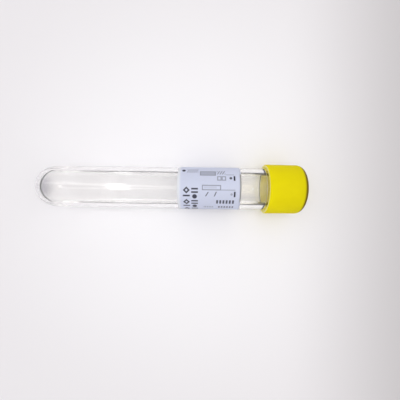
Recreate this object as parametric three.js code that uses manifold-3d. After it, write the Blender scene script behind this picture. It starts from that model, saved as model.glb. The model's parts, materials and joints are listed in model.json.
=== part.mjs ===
// Specimen swab tube: a clear moulded tube with a round bottom, a screw cap with its sealing liner,
// a printed label and the transport medium inside. It lies on its side as it comes to rest, on its
// round end and the rim of its cap. Millimetres, +Z up, round end towards -X.

import * as THREE from 'three';
import { mergeVertices } from 'three/addons/utils/BufferGeometryUtils.js';
import Module from 'manifold-3d';

const wasm = await Module();
wasm.setup();

// ---- Driving dimensions ----------------------------------------------------------------------
// A station is a distance along the axis from the outside tip of the round end.

const sides = 64; // facets round every turned piece
const halfFacet = Math.PI / sides; // turns the facets so that a flat one lies underneath
const cornerReach = 1 / Math.cos(halfFacet); // a corner's radius when the facets touch the true circle
const arcTolerance = 0.02; // how far a rounding's facets may lie inside its true arc
const weldDistance = 1e-4; // corners nearer than this are one corner
const cutOver = 1; // how far a cutting body runs past the face that it opens

const tubeLength = 100; // tip of the round end to the lip
const tubeRadius = 8; // outside of the body
const tubeWall = 1.6;
const bottomThickness = 1.3; // wall at the tip of the round end
const shoulderStep = 0.8; // how much smaller the neck's radius is than the body's
const lipRounding = 0.25;
const shoulderRounding = 0.5;

const threadPitch = 3; // one start, right-hand
const threadTurns = 1.75;
const threadHeight = 0.65;
const threadFootWidth = 1.3;
const threadCrestWidth = 0.5;
const threadRunOut = 0.12; // share of a turn over which a thread sinks into its wall
const threadFoot = 0.2; // depth that a thread's foot is rooted in its wall
const threadClearance = 0.2; // crest of a thread to the wall that it faces
const lipToThread = 1.5; // plain neck above the tube's thread
const mouthToThread = 2; // plain skirt below the cap's thread

const capHeight = 14;
const capWall = 1.35; // skirt, at the mouth
const capTaper = 0.1; // how much smaller the cap's radius is at its end than at its mouth
const capEndThickness = 1;
const capEndRounding = 2.4;
const capMouthRounding = 0.25;
const shoulderGap = 0.5; // cap's mouth to the tube's shoulder

const linerThickness = 0.7;
const restGap = 0.25; // between pieces that rest on, or in, each other

const labelWidth = 22.9; // along the tube
const labelThickness = 0.12;
const labelWindow = 3.5; // bare strip of tube left between the label's two ends
const labelToCap = 9.95; // label's near edge to the cap's mouth

const mediumDepth = 9.4; // at the round end, with the tube lying on its side

// ---- Sizes that follow -----------------------------------------------------------------------

const boreRadius = tubeRadius - tubeWall;
const neckRadius = tubeRadius - shoulderStep;
const skirtRadius = neckRadius + threadHeight + threadClearance; // inside of the cap
const capMouthRadius = skirtRadius + capWall;
const capEndRadius = capMouthRadius - capTaper;

const linerStation = tubeLength + restGap;
const capRoofStation = linerStation + linerThickness + restGap;
const capEndStation = capRoofStation + capEndThickness;
const capMouthStation = capEndStation - capHeight;
const neckStation = capMouthStation - shoulderGap;
const labelStation = capMouthStation - labelToCap - labelWidth;

// ---- Helpers ---------------------------------------------------------------------------------

const point = (radius, station) => new THREE.Vector2(radius, station);

// Points of an arc in the profile's plane, with angles in degrees from the radial direction.
function arc(radius, station, size, from, to) {
  const start = THREE.MathUtils.degToRad(from);
  const end = THREE.MathUtils.degToRad(to);
  const step = 2 * Math.acos(1 - arcTolerance / size);
  const steps = Math.ceil(Math.abs(end - start) / step);
  return new THREE.EllipseCurve(radius, station, size, size, start, end, to < from).getPoints(steps);
}

// Turns a profile about the tube's axis, and lays that axis along +X.
function turned(profile) {
  const corners = profile.map(({ x, y }) => point(x * cornerReach, y));
  return new THREE.LatheGeometry(corners, sides, halfFacet).rotateZ(-Math.PI / 2);
}

// A geometry as a solid that can be cut and joined.
function solid(geometry) {
  const bare = geometry.clone();
  bare.deleteAttribute('normal');
  bare.deleteAttribute('uv');
  const merged = mergeVertices(bare, weldDistance);
  const corners = merged.index.array;
  const kept = [];
  for (let i = 0; i < corners.length; i += 3) {
    const [a, b, c] = corners.slice(i, i + 3);
    if (a !== b && b !== c && c !== a) kept.push(a, b, c);
  }
  return new wasm.Manifold(new wasm.Mesh({
    numProp: 3,
    vertProperties: new Float32Array(merged.attributes.position.array),
    triVerts: new Uint32Array(kept),
  }));
}

// The solid's surface as a geometry again.
function surface(body) {
  const mesh = body.getMesh();
  const geometry = new THREE.BufferGeometry();
  geometry.setAttribute('position', new THREE.BufferAttribute(mesh.vertProperties, 3));
  geometry.setIndex(new THREE.BufferAttribute(mesh.triVerts, 1));
  geometry.computeVertexNormals();
  return geometry;
}

// The middle line of a screw thread about the lathe's axis. Its radius changes by the run-out at
// both ends, so the thread sinks into the wall that carries it.
class ThreadLine extends THREE.Curve {
  constructor(radius, runOut, station, angle) {
    super();
    Object.assign(this, { radius, runOut, station, angle });
  }

  turn(t) {
    return this.angle + 2 * Math.PI * threadTurns * t;
  }

  getPoint(t) {
    const ends = Math.min(t, 1 - t) * threadTurns / threadRunOut;
    const sunk = this.runOut * (1 - THREE.MathUtils.smoothstep(ends, 0, 1));
    const radius = (this.radius + sunk) * cornerReach;
    const turn = this.turn(t);
    const along = this.station + threadPitch * threadTurns * t;
    return new THREE.Vector3(radius * Math.sin(turn), along, radius * Math.cos(turn));
  }

  getSpacedPoints(steps) {
    return this.getPoints(steps);
  }

  // The section's first direction points away from the axis and its second one along it.
  computeFrenetFrames(steps) {
    const frames = { tangents: [], normals: [], binormals: [] };
    for (let i = 0; i <= steps; i++) {
      const turn = this.turn(i / steps);
      frames.tangents.push(new THREE.Vector3(Math.cos(turn), 0, -Math.sin(turn)));
      frames.normals.push(new THREE.Vector3(Math.sin(turn), 0, Math.cos(turn)));
      frames.binormals.push(new THREE.Vector3(0, -1, 0));
    }
    return frames;
  }
}

// A thread that stands out from a wall, outwards with side 1 and inwards with side -1.
function thread(wallRadius, side, station, angle) {
  const foot = -side * threadFoot;
  const crest = side * threadHeight;
  const section = new THREE.Shape([
    point(foot, -threadFootWidth / 2),
    point(crest, -threadCrestWidth / 2),
    point(crest, threadCrestWidth / 2),
    point(foot, threadFootWidth / 2),
  ]);
  const line = new ThreadLine(wallRadius, -side * threadHeight, station, angle);
  const steps = Math.round(sides * threadTurns);
  const ridge = new THREE.ExtrudeGeometry(section, { steps, extrudePath: line });
  return solid(ridge.rotateZ(-Math.PI / 2));
}

function part(name, geometry, color, roughness, opacity = 1) {
  const material = new THREE.MeshStandardMaterial({
    color,
    roughness,
    metalness: 0,
    opacity,
    transparent: opacity < 1,
  });
  const mesh = new THREE.Mesh(geometry, material);
  mesh.name = name;
  return mesh;
}

// ---- Tube ------------------------------------------------------------------------------------

const tubeThreadStation = tubeLength - lipToThread - threadFootWidth / 2 - threadPitch * threadTurns;

function makeTube() {
  const outside = solid(turned([
    ...arc(0, tubeRadius, tubeRadius, -90, 0),
    ...arc(tubeRadius - shoulderRounding, neckStation - shoulderRounding, shoulderRounding, 0, 90),
    point(neckRadius, neckStation),
    ...arc(neckRadius - lipRounding, tubeLength - lipRounding, lipRounding, 0, 90),
    point(0, tubeLength),
  ]));
  const pastLip = tubeLength + cutOver;
  const bore = solid(turned([
    ...arc(0, bottomThickness + boreRadius, boreRadius, -90, 0),
    ...arc(boreRadius + lipRounding, tubeLength - lipRounding, lipRounding, 180, 90),
    point(boreRadius + lipRounding, pastLip),
    point(0, pastLip),
  ]));
  return surface(outside.add(thread(neckRadius, 1, tubeThreadStation, halfFacet)).subtract(bore));
}

// ---- Cap and liner ---------------------------------------------------------------------------

// The cap's thread runs half a pitch away from the tube's, so the two are in mesh.
const capThreadStation = capMouthStation + mouthToThread + threadFootWidth / 2;
const threadLead = (capThreadStation - tubeThreadStation) / threadPitch - 0.5;

function makeCap() {
  const outside = solid(turned([
    point(0, capMouthStation),
    ...arc(capMouthRadius - capMouthRounding, capMouthStation + capMouthRounding, capMouthRounding, -90, 0),
    ...arc(capEndRadius - capEndRounding, capEndStation - capEndRounding, capEndRounding, 0, 90),
    point(0, capEndStation),
  ]));
  const beforeMouth = capMouthStation - cutOver;
  const hollow = solid(turned([
    point(0, beforeMouth),
    point(skirtRadius, beforeMouth),
    point(skirtRadius, capRoofStation),
    point(0, capRoofStation),
  ]));
  const angle = halfFacet + 2 * Math.PI * threadLead;
  return surface(outside.subtract(hollow.subtract(thread(skirtRadius, -1, capThreadStation, angle))));
}

function makeLiner() {
  const radius = skirtRadius - restGap;
  return turned([
    point(0, linerStation),
    point(radius, linerStation),
    point(radius, linerStation + linerThickness),
    point(0, linerStation + linerThickness),
  ]);
}

// ---- Label -----------------------------------------------------------------------------------

// A strip bent round the tube, with the bare window between its ends underneath.
function makeLabel() {
  const inner = tubeRadius + restGap;
  const outer = inner + labelThickness;
  const halfWindow = labelWindow / tubeRadius / 2;
  const start = halfWindow - Math.PI / 2;
  const end = 3 * Math.PI / 2 - halfWindow;
  const section = new THREE.Shape();
  section.absarc(0, 0, outer, start, end, false);
  section.absarc(0, 0, inner, end, start, true);
  const strip = new THREE.ExtrudeGeometry(section, {
    depth: labelWidth,
    bevelEnabled: false,
    curveSegments: sides / 2,
  });
  return strip.rotateY(Math.PI / 2).rotateX(Math.PI / 2).translate(labelStation, 0, 0);
}

// ---- Transport medium ------------------------------------------------------------------------

// Fills the bore below a level surface. The box is level in the bench's frame.
function makeMedium(lying) {
  const radius = boreRadius - restGap;
  const filled = solid(turned([
    ...arc(0, bottomThickness + boreRadius, radius, -90, 0),
    point(radius, tubeLength - restGap),
    point(0, tubeLength - restGap),
  ]));
  const level = tubeWall + mediumDepth;
  const reach = 4 * tubeLength;
  const below = new THREE.BoxGeometry(reach, reach, reach).translate(0, 0, level - reach / 2);
  below.applyMatrix4(lying.matrixWorld.clone().invert());
  return surface(filled.intersect(solid(below)));
}

// ---- Assembly --------------------------------------------------------------------------------

// Lying on the bench, the tube touches it with the round end, a ball of tubeRadius, and with the
// rim of the cap's mouth. This is the angle by which the cap's end is raised.
const rimReach = capMouthStation - tubeRadius;
const rimDistance = Math.hypot(rimReach, capMouthRadius);
const restAngle = Math.acos(tubeRadius / rimDistance) - Math.atan2(rimReach, capMouthRadius);

const lying = new THREE.Group();
lying.rotation.y = -restAngle;
lying.add(
  part('tube', makeTube(), 0xeef0ee, 0.08, 0.35),
  part('cap', makeCap(), 0xe0cc18, 0.4),
  part('cap_liner', makeLiner(), 0xf2f1ec, 0.7),
  part('label', makeLabel(), 0xd8dcea, 0.55),
);

// The origin is under the middle of the part, on the bench.
lying.updateMatrixWorld();
const bounds = new THREE.Box3().setFromObject(lying, true);
const middle = bounds.getCenter(new THREE.Vector3());
lying.position.set(-middle.x, 0, -bounds.min.z);
lying.updateMatrixWorld();
lying.add(part('transport_medium', makeMedium(lying), 0xf6f4ea, 0.03, 0.4));

const group = new THREE.Group();
group.add(lying);

export default group;
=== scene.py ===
"""Specimen swab tube: a clear moulded tube with a round bottom, a yellow screw cap with its sealing
liner, a printed film label and the clear transport medium, lying on a pale bench.

Metres, in the part's own frame. A station is a distance along the tube's axis from the outside tip
of its round end, and an angle runs round the axis from the tube's side towards its top.
"""

import json

import bmesh
import bpy
import numpy as np
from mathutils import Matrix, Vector


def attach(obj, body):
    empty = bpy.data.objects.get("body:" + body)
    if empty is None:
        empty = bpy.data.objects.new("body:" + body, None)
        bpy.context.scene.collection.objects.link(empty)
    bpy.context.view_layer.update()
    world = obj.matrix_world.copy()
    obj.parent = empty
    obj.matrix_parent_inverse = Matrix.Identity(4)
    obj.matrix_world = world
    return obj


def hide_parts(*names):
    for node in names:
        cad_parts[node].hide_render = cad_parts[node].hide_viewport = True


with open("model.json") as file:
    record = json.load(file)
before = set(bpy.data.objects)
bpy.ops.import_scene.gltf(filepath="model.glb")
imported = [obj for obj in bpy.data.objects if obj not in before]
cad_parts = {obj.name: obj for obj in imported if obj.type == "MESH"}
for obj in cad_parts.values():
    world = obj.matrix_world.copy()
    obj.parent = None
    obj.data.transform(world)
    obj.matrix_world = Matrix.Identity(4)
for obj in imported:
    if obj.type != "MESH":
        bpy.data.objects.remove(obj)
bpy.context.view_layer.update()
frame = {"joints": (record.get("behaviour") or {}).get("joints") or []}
mm = 0.001

# ---- Camera ----------------------------------------------------------------------------------
# A short lens close above the bench looks straight down, so the tube's middle is seen from the top
# and both its ends slightly from inside.

camera_height = 86.9 * mm  # above the tube's axis
camera_station = 63.5 * mm
camera_offset = -4.6 * mm  # to the near side of the axis
camera_turn = 0.83  # degrees, so the tube slopes down a little to the right
camera_lens = 19.98  # millimetres, with a sensor 36 mm wide

turn_joint = next(joint for joint in frame["joints"] if joint["name"] == "cap_turn")
tube_length = 100 * mm
lip_centre = np.array(turn_joint["pos_m"])
along = np.array(turn_joint["axis"]) / np.linalg.norm(turn_joint["axis"])
across = np.array([0.0, 1.0, 0.0])
upward = np.cross(along, across)


def placed(radius, station, angle):
    """Points at these radii, stations and angles: the lip's centre, plus the axis times how far the
    station lies past the lip, plus the radius along the side vector turned upward by the angle."""
    radius, station, angle = np.broadcast_arrays(radius, station, angle)
    outward = np.cos(angle)[..., None] * across + np.sin(angle)[..., None] * upward
    return lip_centre + (station - tube_length)[..., None] * along + radius[..., None] * outward


def x_at(station):
    """Where along X the tube's axis has this station."""
    return float(placed(0.0, station, 0.0)[0])


camera = bpy.data.objects.new("camera", bpy.data.cameras.new("camera"))
bpy.context.collection.objects.link(camera)
axis_point = placed(0.0, camera_station, 0.0)
camera.location = Vector(axis_point) + Vector((0, camera_offset, camera_height))
camera.rotation_euler = (0, 0, np.radians(camera_turn))
camera.data.lens = camera_lens
camera.data.sensor_width = 36
camera.data.clip_start = 0.01
bpy.context.scene.camera = camera

# ---- Bench and light -------------------------------------------------------------------------
# A pale bench with painted shade, a little darker away from its middle, towards its rim, and past
# the cap, in a pale surround. Four
# soft lamps add to it: one overhead, two past the round end, which lie as glints on the tube, and a
# long warm one past the cap, which is mirrored in the bare stretch between the label and the cap.

bench_half = 3.0
bench_colour = (0.835, 0.83, 0.855)
# Painted shade: the bench darkens away from its palest middle and past the cap, as the light falls
# off.
painted_bench_shade = (0.745, 0.73, 0.75)  # away from the tube
painted_bench_dusk = (0.50, 0.485, 0.495)  # past the cap
bench_middle = 0.01  # along X, where the bench is palest
shade_starts, shade_ends = 0.015, 0.11  # distances from there
dusk_starts, dusk_ends = 0.045, 0.12  # along X
surround_top = (0.83, 0.82, 0.83)
surround_left = (1.3, 1.29, 1.3)  # at the horizon, past the round end
surround_right = (0.72, 0.71, 0.72)  # at the horizon, past the cap
horizon_blend = 0.6  # sine of the angle over which one surround turns into the next


class Socket:
    """A shader value. An expression on sockets and numbers adds the Math nodes that work it out."""

    def __init__(self, tree, link):
        self.tree = tree
        self.link = link

    def math(self, operation, *values):
        return self.tree.node("ShaderNodeMath", {"operation": operation}, dict(enumerate(values)))

    def __add__(self, other):
        return self.math("ADD", self, other)

    def __radd__(self, other):
        return self.math("ADD", other, self)

    def __sub__(self, other):
        return self.math("SUBTRACT", self, other)

    def __rsub__(self, other):
        return self.math("SUBTRACT", other, self)

    def __mul__(self, other):
        return self.math("MULTIPLY", self, other)

    def __rmul__(self, other):
        return self.math("MULTIPLY", other, self)

    def __truediv__(self, other):
        return self.math("DIVIDE", self, other)

    def __pow__(self, other):
        return self.math("POWER", self, other)

    def __abs__(self):
        return self.math("ABSOLUTE", self)


class Shader:
    """The node tree of a material or of the world, emptied and filled again one node at a time."""

    def __init__(self, owner):
        owner.use_nodes = True
        self.nodes = owner.node_tree.nodes
        self.links = owner.node_tree.links
        self.nodes.clear()

    def node(self, kind, settings, inputs, output=0):
        made = self.nodes.new(kind)
        for setting, value in settings.items():
            setattr(made, setting, value)
        for name, value in inputs.items():
            if isinstance(value, Socket):
                self.links.new(value.link, made.inputs[name])
            else:
                made.inputs[name].default_value = value
        return Socket(self, made.outputs[output]) if len(made.outputs) else None

    def clamped(self, value, low, high, start=0.0, end=1.0):
        """The value's place between low and high, eased at both ends, from start to end."""
        return self.node(
            "ShaderNodeMapRange",
            {"interpolation_type": "SMOOTHSTEP"},
            {"Value": value, "From Min": low, "From Max": high, "To Min": start, "To Max": end},
        )

    def see_through(self, surface, colour, share):
        """The surface, with a share of its light let through instead, in one colour and scattered
        on the far side. The share may vary from place to place."""
        glow = self.node("ShaderNodeBsdfTranslucent", {}, {"Color": colour})
        return self.node("ShaderNodeMixShader", {}, {0: share, 1: surface, 2: glow})

    def noise(self, spot, scale, detail):
        """Soft spots of that scale, about so many to a metre: from 0 to 1, mostly near a half."""
        inputs = {"Vector": spot, "Scale": scale, "Detail": detail}
        return self.node("ShaderNodeTexNoise", {}, inputs)

    def bumps(self, height, strength, distance):
        """The normal of a surface that stands out by the height times the distance."""
        inputs = {"Height": height, "Strength": strength, "Distance": distance}
        return self.node("ShaderNodeBump", {}, inputs)

    def mixed(self, share, first, second):
        """The first colour where the share is 0 and the second where it is 1."""
        return self.node(
            "ShaderNodeMix",
            {"data_type": "RGBA"},
            {"Factor": share, 6: first, 7: second},
            output=2,
        )


def rgba(colour):
    return (*colour, 1.0)


def new_mesh(name, points, faces):
    """A smooth-shaded object at the origin from an array of points and a list of face arrays."""
    mesh = bpy.data.meshes.new(name)
    mesh.from_pydata(points.reshape(-1, 3), [], [face for part in faces for face in part.tolist()])
    mesh.shade_smooth()
    piece = bpy.data.objects.new(name, mesh)
    bpy.context.collection.objects.link(piece)
    return piece


bench = new_mesh(
    "bench",
    np.array([(x, y, 0.0) for x, y in ((-1, -1), (1, -1), (1, 1), (-1, 1))]) * bench_half,
    [np.array([[0, 1, 2, 3]])],
)
bench_paint = bpy.data.materials.new("bench_paint")
shader = Shader(bench_paint)
spot = shader.node("ShaderNodeTexCoord", {}, {}, output="Object")
x = shader.node("ShaderNodeSeparateXYZ", {}, {"Vector": spot}, output="X")
y = shader.node("ShaderNodeSeparateXYZ", {}, {"Vector": spot}, output="Y")
# Painted shade: the bench colour darkens with distance from its middle and again past the cap.
away = ((x - bench_middle) ** 2.0 + y ** 2.0) ** 0.5
shade = shader.clamped(away, shade_starts, shade_ends)
dusk = shader.clamped(x, dusk_starts, dusk_ends)
colour = shader.mixed(shade, rgba(bench_colour), rgba(painted_bench_shade))
colour = shader.mixed(dusk, colour, rgba(painted_bench_dusk))
surface = shader.node(
    "ShaderNodeBsdfPrincipled",
    {},
    {"Base Color": colour, "Roughness": 0.6, "Specular IOR Level": 0.2},
)
shader.node("ShaderNodeOutputMaterial", {}, {"Surface": surface})
bench.data.materials.append(bench_paint)

world = bpy.data.worlds.new("surround")
bpy.context.scene.world = world
shader = Shader(world)
direction = shader.node("ShaderNodeTexCoord", {}, {}, output="Generated")
sideways = shader.node("ShaderNodeSeparateXYZ", {}, {"Vector": direction}, output="X")
height = shader.node("ShaderNodeSeparateXYZ", {}, {"Vector": direction}, output="Z")
to_right = shader.clamped(sideways, -horizon_blend, horizon_blend)
to_top = shader.clamped(height, 0.0, horizon_blend)
colour = shader.mixed(to_right, rgba(surround_left), rgba(surround_right))
colour = shader.mixed(to_top, colour, rgba(surround_top))
light = shader.node("ShaderNodeBackground", {}, {"Color": colour, "Strength": 1.0})
shader.node("ShaderNodeOutputWorld", {}, {"Surface": light})

lamp_height = 0.35  # of the three lamps that face straight down
overhead_x, warm_x, glint_x = 0.02, 0.11, -0.162
strip_place = (-0.30, 0.10, 0.45)
strip_target = (-0.02, 0.0, 0.0)
warm_light = (1.0, 0.92, 0.72)


def soft_lamp(name, place, target, size, watts, colour=(1.0, 1.0, 1.0)):
    """A rectangular lamp at a place, facing a target, with its width and its length."""
    lamp = bpy.data.objects.new(name, bpy.data.lights.new(name, "AREA"))
    lamp.data.shape = "RECTANGLE"
    lamp.data.size, lamp.data.size_y = size
    lamp.data.energy = watts
    lamp.data.color = colour
    lamp.location = place
    lamp.rotation_euler = (Vector(target) - Vector(place)).to_track_quat("-Z", "Y").to_euler()
    bpy.context.collection.objects.link(lamp)


def ceiling_lamp(name, x, size, watts, colour=(1.0, 1.0, 1.0)):
    """A lamp over the tube's middle line that faces straight down."""
    soft_lamp(name, (x, 0.0, lamp_height), (x, 0.0, 0.0), size, watts, colour)


ceiling_lamp("overhead_lamp", overhead_x, (0.08, 0.16), 0.22)
soft_lamp("strip_lamp", strip_place, strip_target, (0.10, 0.6), 0.20)
ceiling_lamp("warm_lamp", warm_x, (0.075, 0.68), 0.15, warm_light)
ceiling_lamp("glint_lamp", glint_x, (0.03, 0.25), 0.05)

bpy.context.scene.view_settings.view_transform = "Standard"
bpy.context.scene.cycles.max_bounces = 32
bpy.context.scene.cycles.transmission_bounces = 24
bpy.context.scene.cycles.diffuse_bounces = 16
bpy.context.scene.cycles.blur_glossy = 0.0

# ---- Tube ------------------------------------------------------------------------------------
# One piece of clear polystyrene, moulded round a core pin: thick wall, round closed end, and a
# slimmer neck with a raised screw thread and a rounded lip.

tube_radius = 8 * mm
tube_wall = 1.6 * mm
bottom_thickness = 1.3 * mm
shoulder_step = 0.8 * mm
lip_rounding = 0.25 * mm
shoulder_rounding = 0.5 * mm
neck_station = 87.7 * mm
bore_radius = tube_radius - tube_wall
neck_radius = tube_radius - shoulder_step

columns = 288  # round every turned piece
ball_rows = 64  # from the tip of the round end to the straight body
flush = 0.3 * mm  # how near to a bend a straight stretch has its next row

thread_pitch = 3 * mm
thread_turns = 1.75
thread_height = 0.65 * mm
thread_foot = 1.3 * mm
thread_crest = 0.5 * mm
thread_run_out = 0.12  # of a turn
thread_row = 0.1 * mm
lip_to_thread = 1.5 * mm
tube_thread_start = tube_length - lip_to_thread - thread_foot / 2 - thread_pitch * thread_turns

clear_tint = (0.99, 0.988, 0.985)
clear_haze = (0.975, 0.972, 0.968)
clear_ior = 1.53
flow_scale = 150.0  # of the ripples that moulding leaves, to a metre
flow_height = 0.05 * mm
tip_painted_shade = (0.82, 0.81, 0.85)  # painted shade on the thick round end, seen along the wall
tip_full, tip_gone = 1.4 * mm, 3.2 * mm  # stations between which that tint fades


def arc(radius, station, size, start, end, steps=10):
    """Rows of a profile on a circle of that size about a centre, with angles in degrees from the
    radial direction towards greater stations."""
    angle = np.radians(np.linspace(start, end, steps + 1))
    return np.column_stack([radius + size * np.cos(angle), station + size * np.sin(angle)])


def straight(radius, start, end):
    """Rows of a straight stretch at one radius: one a little inside each end."""
    inset = flush * np.sign(end - start)
    return np.array([(radius, start + inset), (radius, end - inset)])


def threaded(radius, start, end):
    """Rows close enough to carry a screw thread, along a straight stretch at one radius."""
    stations = np.linspace(start, end, round(abs(end - start) / thread_row) + 1)
    return np.column_stack([np.full_like(stations, radius), stations])


def ridge(station, angle, start, lead):
    """Height of a screw thread: its middle line climbs one pitch a turn, the height eases from the
    crest's half width to the foot's, and the ridge fades out over the run-out at both ends."""
    turn = angle / (2 * np.pi) - lead
    turn = turn + np.round((station - start) / thread_pitch - turn)
    away = np.abs(station - start - thread_pitch * turn)
    flank = np.clip((thread_foot / 2 - away) / (thread_foot - thread_crest) * 2, 0, 1)
    fade = np.clip(np.minimum(turn, thread_turns - turn) / thread_run_out, 0, 1)
    ease = [share * share * (3 - 2 * share) for share in (flank, fade)]
    return thread_height * ease[0] * ease[1]


def closed_skin(name, sections, start, end):
    """Closed skin through rows of points, each row a closed loop, with quads from every row to the
    next and a fan of triangles from the first and the last row to a point at either end."""
    rows, around = sections.shape[:2]
    index = np.arange(rows * around).reshape(rows, around)
    right = np.roll(index, -1, axis=1)
    quads = np.stack([index[:-1], right[:-1], right[1:], index[1:]], axis=-1).reshape(-1, 4)
    first = np.full(around, rows * around)
    near = np.stack([first, right[0], index[0]], axis=-1)
    far = np.stack([first + 1, index[-1], right[-1]], axis=-1)
    return new_mesh(name, np.vstack([sections.reshape(-1, 3), start, end]), [quads, near, far])


def turned(name, profile, relief=None):
    """Closed skin of a turned piece. Each row of the profile, a radius and a station, is carried
    round the axis in equal steps, and the relief, a function of radius, station and angle, is added
    to the radius. The first and last rows lie on the axis, and each is one point of a fan."""
    angle = np.linspace(0, 2 * np.pi, columns, endpoint=False)[None, :]
    radius, station = (column[:, None] for column in profile[1:-1].T)
    height = relief(radius, station, angle) if relief else 0.0
    start, end = placed(0.0, profile[[0, -1], 1], 0.0)
    return closed_skin(name, placed(radius + height, station, angle), start, end)


def tube_relief(radius, station, angle):
    """The screw thread, on the outside of the neck only."""
    neck = np.abs(radius - neck_radius) < lip_rounding / 10
    return np.where(neck, ridge(station, angle, tube_thread_start, 0.0), 0.0)


rounded = tube_radius - shoulder_rounding
tube_profile = np.vstack([
    arc(0, tube_radius, tube_radius, -90, 0, ball_rows),
    straight(tube_radius, tube_radius, neck_station - shoulder_rounding),
    arc(rounded, neck_station - shoulder_rounding, shoulder_rounding, 0, 90),
    threaded(neck_radius, neck_station, tube_length - lip_rounding),
    arc(neck_radius - lip_rounding, tube_length - lip_rounding, lip_rounding, 0, 90),
    arc(bore_radius + lip_rounding, tube_length - lip_rounding, lip_rounding, 90, 180),
    straight(bore_radius, tube_length - lip_rounding, bottom_thickness + bore_radius),
    arc(0, bottom_thickness + bore_radius, bore_radius, 0, -90, ball_rows),
])
tube = turned("clear_tube", tube_profile, tube_relief)
clear_plastic = bpy.data.materials.new("clear_polystyrene")
shader = Shader(clear_plastic)
spot = shader.node("ShaderNodeTexCoord", {}, {}, output="Object")
x = shader.node("ShaderNodeSeparateXYZ", {}, {"Vector": spot}, output="X")
flow = shader.noise(spot, flow_scale, 2.0)
colour = shader.mixed(shader.clamped(flow, 0.35, 0.65), rgba(clear_haze), rgba(clear_tint))
# Painted shade: a grey tint on the round end, fading out along the tube.
past_tip = shader.clamped(x, x_at(tip_full), x_at(tip_gone))
colour = shader.mixed(past_tip, rgba(tip_painted_shade), colour)
waves = shader.bumps(flow, 0.1, flow_height)
surface = shader.node(
    "ShaderNodeBsdfPrincipled",
    {},
    {
        "Base Color": colour,
        "Roughness": 0.0,
        "IOR": clear_ior,
        "Transmission Weight": 1.0,
        "Normal": waves,
    },
)
shader.node("ShaderNodeOutputMaterial", {}, {"Surface": surface})
tube.data.materials.append(clear_plastic)
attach(tube, "tube")
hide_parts("tube")

# ---- Transport medium ------------------------------------------------------------------------
# About nine millilitres of clear buffered water. It fills the bore below a level surface, from the
# round end to the cap's liner, and meets the plastic at a right angle, so its shores don't climb.

level = 11.0 * mm  # above the bench
wetting = 0.01 * mm  # how far the liquid's skin reaches into the wall, so no air film is left
full_rows = 16
weld = 0.0001 * mm  # points nearer than this become one
shore_rows = 60
surface_columns = 32
medium_tint = (0.998, 0.998, 0.996)
medium_cloud = (0.985, 0.982, 0.975)
medium_ior = 1.335
medium_scale = 90.0  # of its faint clouds, to a metre


def wet_section(radius, station):
    """Cross-sections of the bore below the level, one row a station: an arc of the bore's circle
    from one shore under the axis to the other, and back along the surface. Where the circle lies
    wholly below the level, both shores are its top point."""
    depth = (level - placed(0.0, station, 0.0)[:, 2]) / upward[2]
    shore = np.arcsin(np.minimum(depth / radius, 1))
    share = np.linspace(0, 1, columns // 2)
    wet = -np.pi - shore[:, None] + (np.pi + 2 * shore[:, None]) * share
    wall = placed(radius[:, None], station[:, None], wet)
    share = np.linspace(0, 1, surface_columns + 2)[1:-1, None]
    surface = wall[:, -1:] * (1 - share) + wall[:, :1] * share
    return np.concatenate([wall, surface], axis=1)


# The rows over the round end are angles at its centre, from its tip. They are even until a little
# before the level first cuts the circle, and from there they start close together and spread out.
ball_centre = bottom_thickness + bore_radius
wet_radius = bore_radius + wetting
ball_height = placed(0.0, ball_centre, 0.0)[2]
first_shore = np.arcsin((level - ball_height) / wet_radius) - np.arctan2(along[2], upward[2])
to_shore = first_shore * np.linspace(0, 1, full_rows + 1)[1:]
past_shore = first_shore + (np.pi / 2 - first_shore) * np.linspace(0, 1, shore_rows)[1:] ** 2
sweep = np.concatenate([to_shore, past_shore])
wet_ball = [wet_radius * np.sin(sweep), ball_centre - wet_radius * np.cos(sweep)]
bore_stations = np.array([ball_centre + flush, tube_length - flush, tube_length])
wet_bore = [np.full(3, wet_radius), bore_stations]
sections = wet_section(*np.hstack([wet_ball, wet_bore]))
medium = closed_skin(
    "transport_liquid",
    sections,
    placed(0.0, ball_centre - wet_radius, 0.0),
    sections[-1].mean(axis=0),
)
skin = bmesh.new()
skin.from_mesh(medium.data)
bmesh.ops.remove_doubles(skin, verts=skin.verts, dist=weld)
skin.to_mesh(medium.data)
skin.free()
clear_liquid = bpy.data.materials.new("clear_medium")
shader = Shader(clear_liquid)
spot = shader.node("ShaderNodeTexCoord", {}, {}, output="Object")
clouds = shader.noise(spot, medium_scale, 3.0)
colour = shader.mixed(shader.clamped(clouds, 0.4, 0.7), rgba(medium_tint), rgba(medium_cloud))
surface = shader.node(
    "ShaderNodeBsdfPrincipled",
    {},
    {"Base Color": colour, "Roughness": 0.0, "IOR": medium_ior, "Transmission Weight": 1.0},
)
shader.node("ShaderNodeOutputMaterial", {}, {"Surface": surface})
medium.data.materials.append(clear_liquid)
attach(medium, "tube")
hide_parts("transport_medium")

# ---- Label -----------------------------------------------------------------------------------
# A printed film label, wrapped round the tube near the cap and glued down, with a bare window left
# between its two ends underneath.

label_start = 55.35 * mm
label_width = 22.9 * mm  # along the tube
label_window = 3.5 * mm
label_gap = 0.02 * mm
label_thickness = 0.08 * mm
label_columns = 192
label_rows = 24
film_colour = (0.66, 0.70, 0.85)
film_shade = (0.645, 0.68, 0.82)
margin_colour = (0.86, 0.875, 0.90)  # the paler strip along the edge towards the round end
label_edge_painted_shadow = (0.32, 0.31, 0.29)  # painted shadow along the label's other edge, towards the cap
ink_colour = (0.012, 0.012, 0.03)
paper_colour = (0.90, 0.89, 0.86)
paper_shade = (0.86, 0.85, 0.82)
film_glow = 0.25  # share of the light that goes on through one face of the film
grain_scale, crease_scale = 900.0, 260.0  # to a metre
crease_height = 0.05 * mm
print_fade = 0.12  # millimetres over which a printed edge fades
margin_full, margin_gone = 0.2, 1.6  # millimetres from its start between which that strip fades
edge_shadow_along, edge_shadow_round = (22.45, 23.2), (-5.2, 5.6)  # millimetres between which the painted shadow lies
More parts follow.
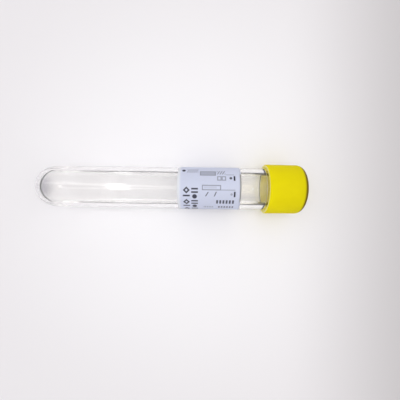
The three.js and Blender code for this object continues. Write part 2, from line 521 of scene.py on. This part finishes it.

# At each station a closed loop runs over the outside, from one end of the window to the other, and
# back underneath. The faces between the loops are printed outside and bare underneath and at the
# window, and the first and the last loop are closed by the film's two long edges.
half_window = label_window / tube_radius / 2
wrap = np.linspace(1.5 * np.pi - half_window, half_window - 0.5 * np.pi, label_columns + 1)
strip = label_start + np.linspace(0, label_width, label_rows + 1)[:, None]
over = placed(tube_radius + label_gap + label_thickness, strip, wrap)
under = placed(tube_radius + label_gap, strip, wrap[::-1])
loops = np.concatenate([over, under], axis=1)
index = np.arange(loops.shape[0] * loops.shape[1]).reshape(loops.shape[:2])
right = np.roll(index, -1, axis=1)
around = np.stack([index[:-1], index[1:], right[1:], right[:-1]], axis=-1)
printed, rest = np.split(around, [label_columns], axis=1)
outer, inner = index[:, : label_columns + 1], index[:, : label_columns : -1]
edges = np.stack([outer[:, :-1], outer[:, 1:], inner[:, 1:], inner[:, :-1]], axis=-1)
label = new_mesh(
    "wrap_label",
    loops,
    [printed.reshape(-1, 4), rest.reshape(-1, 4), edges[0], edges[-1][:, ::-1]],
)
backed = np.arange(len(label.data.polygons)) >= label_columns * label_rows
label.data.polygons.foreach_set("material_index", backed.astype(np.int32))
turned_from_top = np.concatenate([np.pi / 2 - wrap, np.pi / 2 - wrap[::-1]])
millimetres = np.stack(
    np.broadcast_arrays((strip - label_start) / mm, -turned_from_top * tube_radius / mm), axis=-1
).reshape(-1, 2)
corner = np.empty(len(label.data.loops), dtype=np.int32)
label.data.loops.foreach_get("vertex_index", corner)
layer = label.data.uv_layers.new(name="print")
layer.uv.foreach_set("vector", millimetres[corner].ravel())

film = bpy.data.materials.new("label_print")
shader = Shader(film)
place = shader.node("ShaderNodeUVMap", {"uv_map": "print"}, {})
x = shader.node("ShaderNodeSeparateXYZ", {}, {"Vector": place}, output="X")
y = shader.node("ShaderNodeSeparateXYZ", {}, {"Vector": place}, output="Y")


def within(value, low, high):
    """1 between low and high and 0 outside: the half width less the distance to the middle, over
    the fade of a printed edge, and held to 0 and 1."""
    inside = (high - low) / 2 - abs(value - (low + high) / 2)
    return shader.node("ShaderNodeClamp", {}, {"Value": inside / print_fade + 0.5})


def bar(x0, x1, y0, y1, slant=0.0):
    """A printed rectangle. The slant moves it along x by that share of its place in y."""
    return within(x + slant * y - slant * (y0 + y1) / 2, x0, x1) * within(y, y0, y1)


def outline(x0, x1, y0, y1, line):
    """The outline of a rectangle, printed as a line of that width."""
    return bar(x0, x1, y0, y1) - bar(x0 + line, x1 - line, y0 + line, y1 - line)


def dot(x0, y0, radius):
    """A printed disc."""
    return within(((x - x0) ** 2.0 + (y - y0) ** 2.0) ** 0.5, -radius, radius)


def lozenge(x0, y0, reach, hole):
    """A printed square on its corner, with a smaller one left bare inside it."""
    away = abs(x - x0) + abs(y - y0)
    return within(away, -reach, reach) - within(away, -hole, hole)


def stripes(value, pitch, share):
    """Bars side by side: 1 over that share of each pitch of the value."""
    return within(value.math("WRAP", value, pitch, 0.0), 0.0, pitch * share)


# Each mark with its strength. Its places are in millimetres: along the tube from the label's edge
# towards the cap, and round it from the top line towards the near side. The marks spell nothing.
prints = [
    (dot(2.2, -6.9, 0.65), 1.0),
    (bar(3.3, 7.6, -8.0, -5.7) * stripes(x + 0.3 * y, 0.8, 0.5), 0.5),
    (bar(8.1, 13.9, -6.6, -4.4), 0.42),
    (outline(8.1, 13.9, -6.6, -4.4, 0.4), 0.62),
    (bar(14.2, 17.3, -6.8, -5.0) * stripes(x + 0.5 * y, 0.9, 0.5), 0.6),
    (outline(14.3, 15.9, -4.2, -2.4, 0.4), 0.55),
    (outline(15.9, 17.5, -4.2, -2.4, 0.4), 0.55),
    (bar(17.4, 20.4, -5.0, -4.7), 0.45),
    (dot(19.2, -3.4, 0.5), 0.9),
    (bar(20.2, 20.8, -4.3, -2.4), 1.0),
    (outline(8.9, 15.7, -0.8, 1.1, 0.35), 0.6),
    (bar(9.5, 14.2, -0.3, 0.5), 0.15),
    (bar(15.6, 20.8, 0.8, 1.1), 0.5),
    (bar(10.5, 10.9, 1.7, 3.3, 0.6), 0.85),
    (bar(13.5, 13.9, 1.6, 3.3, 0.4), 0.85),
    (dot(19.5, 2.5, 0.45), 0.45),
    (bar(20.3, 20.9, 1.5, 3.5), 1.0),
    (bar(14.1, 20.9, 4.8, 6.4) * stripes(x - 14.1, 1.15, 0.62), 0.9),
    (bar(9.4, 13.1, 8.0, 9.0) * stripes(x, 0.9, 0.6), 0.5),
    (bar(14.9, 20.6, 7.9, 9.2) * stripes(x, 1.0, 0.6), 0.8),
    (bar(2.0, 20.9, 11.6, 11.9), 0.6),
    (bar(9.0, 20.9, 13.2, 18.4) * stripes(x, 1.4, 0.45), 0.95),
    (bar(9.0, 20.9, 13.2, 18.4) * stripes(x + 0.5, 0.9, 0.25), 0.95),
    (bar(3.0, 20.9, -12.2, -11.9), 0.5),
    (bar(3.0, 20.9, -15.2, -14.9), 0.5),
    (bar(3.0, 20.9, -18.2, -17.9), 0.5),
]
code_rows, code_start, code_pitch = 5, 0.2, 4.6
for row in range(code_rows):
    start = code_start + code_pitch * row
    prints += [
        (lozenge(3.35, start + 0.9, 1.25, 0.5), 0.95),
        (bar(2.1, 4.6, start + 2.6, start + 3.2), 0.95),
        (bar(5.1, 7.5, start + 0.1, start + 0.7), 0.95),
        (bar(5.1, 7.5, start + 1.3, start + 1.9), 0.95),
        (dot(6.3, start + 3.2, 0.85), 0.95),
    ]
ink = 0.0
for mark, strength in prints:
    ink = mark.math("MAXIMUM", ink, mark * strength)
spot = shader.node("ShaderNodeTexCoord", {}, {}, output="Object")
grain = shader.noise(spot, grain_scale, 4.0)
sheet = shader.mixed(shader.clamped(grain, 0.3, 0.7), rgba(film_shade), rgba(film_colour))
past_margin = shader.clamped(x, margin_full, margin_gone)
sheet = shader.mixed(past_margin, rgba(margin_colour), sheet)
colour = shader.mixed(ink, sheet, rgba(ink_colour))
# Painted shadow: a dark line along the label's edge towards the cap, only round the top of the
# tube.
painted_edge_shadow = within(x, *edge_shadow_along) * within(y, *edge_shadow_round)
colour = shader.mixed(painted_edge_shadow, colour, rgba(label_edge_painted_shadow))
creases = shader.noise(spot, crease_scale, 3.0)
dents = shader.bumps(creases, 0.25, crease_height)
surface = shader.node(
    "ShaderNodeBsdfPrincipled",
    {},
    {
        "Base Color": colour,
        "Roughness": shader.clamped(grain, 0.3, 0.7, 0.42, 0.5),
        "Specular IOR Level": 0.3,
        "Normal": dents,
    },
)
surface = shader.see_through(surface, rgba(film_colour), film_glow * (1.0 - ink))
shader.node("ShaderNodeOutputMaterial", {}, {"Surface": surface})
backing = bpy.data.materials.new("label_backing")
shader = Shader(backing)
spot = shader.node("ShaderNodeTexCoord", {}, {}, output="Object")
grain = shader.noise(spot, grain_scale, 4.0)
colour = shader.mixed(shader.clamped(grain, 0.3, 0.7), rgba(paper_shade), rgba(paper_colour))
surface = shader.node(
    "ShaderNodeBsdfPrincipled",
    {},
    {"Base Color": colour, "Roughness": 0.6, "Specular IOR Level": 0.2},
)
surface = shader.see_through(surface, rgba(paper_colour), film_glow)
shader.node("ShaderNodeOutputMaterial", {}, {"Surface": surface})
label.data.materials.append(film)
label.data.materials.append(backing)
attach(label, "tube")
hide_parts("label")

# ---- Cap liner -------------------------------------------------------------------------------
# A soft white disc, punched from a sheet of foam. It is pushed up into the cap's end, where
# screwing the cap down presses it on the tube's lip.

liner_start = tube_length + 0.05 * mm
liner_end = 101.15 * mm
liner_radius = 7.8 * mm
liner_rounding = 0.15 * mm
liner_colour = (0.86, 0.86, 0.83)
cell_scale = 4000.0  # to a metre
cell_height = 0.05 * mm

rounded = liner_radius - liner_rounding
liner_profile = np.vstack([
    [(0, liner_start)],
    [(rounded - flush, liner_start)],
    arc(rounded, liner_start + liner_rounding, liner_rounding, -90, 0),
    arc(rounded, liner_end - liner_rounding, liner_rounding, 0, 90),
    [(rounded - flush, liner_end)],
    [(0, liner_end)],
])
liner = turned("sealing_liner", liner_profile)
foam = bpy.data.materials.new("liner_foam")
shader = Shader(foam)
spot = shader.node("ShaderNodeTexCoord", {}, {}, output="Object")
cells = shader.noise(spot, cell_scale, 3.0)
dents = shader.bumps(cells, 0.3, cell_height)
surface = shader.node(
    "ShaderNodeBsdfPrincipled",
    {},
    {"Base Color": rgba(liner_colour), "Roughness": 0.8, "Normal": dents},
)
shader.node("ShaderNodeOutputMaterial", {}, {"Surface": surface})
liner.data.materials.append(foam)
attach(liner, "liner")
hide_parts("cap_liner")

# ---- Cap -------------------------------------------------------------------------------------
# One moulding of yellow polyethylene: a smooth skirt that narrows a little towards a flat end with
# a rounded edge, and inside it the screw thread that meshes with the tube's.

cap_mouth_station = 88.2 * mm
cap_end_station = 102.2 * mm
cap_roof_station = 101.2 * mm
cap_mouth_radius = 9.4 * mm
cap_end_radius = 9.3 * mm
cap_mouth_rounding = 0.25 * mm
cap_end_rounding = 2.4 * mm
thread_clearance = 0.2 * mm
skirt_radius = neck_radius + thread_height + thread_clearance
mouth_to_thread = 2 * mm
cap_thread_start = cap_mouth_station + mouth_to_thread + thread_foot / 2
cap_lead = (cap_thread_start - tube_thread_start) / thread_pitch - 0.5
cap_colour = (0.865, 0.78, 0.006)
cap_shade = (0.845, 0.75, 0.006)
cap_edge_painted_shade = (0.15, 0.10, 0.003)  # painted shade on the rounded edge round the cap's end
edge_starts, edge_full = 99.9 * mm, 100.9 * mm  # stations over which it darkens
edge_fades, edge_gone = 101.7 * mm, 102.0 * mm  # and over which it clears again
# Painted light: the inside of the cap is a paler yellow than its outside, standing in for light in
# the hollow.
painted_light_inside = (0.99, 0.95, 0.42)
painted_light_inside_shade = (0.98, 0.93, 0.39)
cap_glow = 0.4  # share of the light that goes on through one face of the plastic
cap_cloud_scale, pore_scale = 220.0, 2500.0  # to a metre
pore_height = 0.01 * mm


def cap_relief(radius, station, angle):
    """The screw thread, inwards from the skirt's inside, half a pitch off the tube's."""
    skirt = np.abs(radius - skirt_radius) < cap_mouth_rounding / 10
    return np.where(skirt, -ridge(station, angle, cap_thread_start, cap_lead), 0.0)


mouth = cap_mouth_station + cap_mouth_rounding
rounded = cap_end_radius - cap_end_rounding
cap_hollow = np.vstack([
    [(0, cap_roof_station)],
    [(skirt_radius - flush, cap_roof_station)],
    threaded(skirt_radius, cap_roof_station, mouth),
    arc(skirt_radius + cap_mouth_rounding, mouth, cap_mouth_rounding, -180, -90),
])
cap_profile = np.vstack([
    cap_hollow,
    arc(cap_mouth_radius - cap_mouth_rounding, mouth, cap_mouth_rounding, -90, 0),
    arc(rounded, cap_end_station - cap_end_rounding, cap_end_rounding, 0, 90, 24),
    [(rounded - flush, cap_end_station)],
    [(0, cap_end_station)],
])
cap = turned("screw_cap", cap_profile, cap_relief)
is_inside = np.zeros(len(cap.data.polygons), dtype=np.int32)
is_inside[: (len(cap_hollow) - 1) * columns] = 1
is_inside[-2 * columns : -columns] = 1  # the fan in the middle of the roof
cap.data.polygons.foreach_set("material_index", is_inside)
polyethylene = bpy.data.materials.new("yellow_polyethylene")
shader = Shader(polyethylene)
spot = shader.node("ShaderNodeTexCoord", {}, {}, output="Object")
clouds = shader.noise(spot, cap_cloud_scale, 2.0)
colour = shader.mixed(shader.clamped(clouds, 0.3, 0.7), rgba(cap_shade), rgba(cap_colour))
x = shader.node("ShaderNodeSeparateXYZ", {}, {"Vector": spot}, output="X")
# Painted shade: the rounded edge round the cap's end is darkened, and lets less light through.
past_start = shader.clamped(x, x_at(edge_starts), x_at(edge_full))
before_end = shader.clamped(x, x_at(edge_fades), x_at(edge_gone), 1.0, 0.0)
edge = past_start * before_end
colour = shader.mixed(edge, colour, rgba(cap_edge_painted_shade))
pores = shader.noise(spot, pore_scale, 2.0)
dents = shader.bumps(pores, 0.2, pore_height)
surface = shader.node(
    "ShaderNodeBsdfPrincipled",
    {},
    {
        "Base Color": colour,
        "Roughness": shader.clamped(clouds, 0.3, 0.7, 0.5, 0.6),
        "Specular IOR Level": 0.06,
        "Normal": dents,
    },
)
surface = shader.see_through(surface, rgba(cap_colour), cap_glow * (1.0 - edge))
shader.node("ShaderNodeOutputMaterial", {}, {"Surface": surface})
# Painted light: a paler copy of the yellow plastic for the cap's inside, so its hollow and mouth
# look lit.
painted_light_hollow_plastic = bpy.data.materials.new("yellow_polyethylene_inside_painted_light")
shader = Shader(painted_light_hollow_plastic)
spot = shader.node("ShaderNodeTexCoord", {}, {}, output="Object")
clouds = shader.noise(spot, cap_cloud_scale, 2.0)
colour = shader.mixed(shader.clamped(clouds, 0.3, 0.7), rgba(painted_light_inside_shade), rgba(painted_light_inside))
surface = shader.node(
    "ShaderNodeBsdfPrincipled",
    {},
    {"Base Color": colour, "Roughness": 0.5, "Specular IOR Level": 0.3},
)
surface = shader.see_through(surface, rgba(painted_light_inside), cap_glow)
shader.node("ShaderNodeOutputMaterial", {}, {"Surface": surface})
cap.data.materials.append(polyethylene)
cap.data.materials.append(painted_light_hollow_plastic)
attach(cap, "cap")
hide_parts("cap")
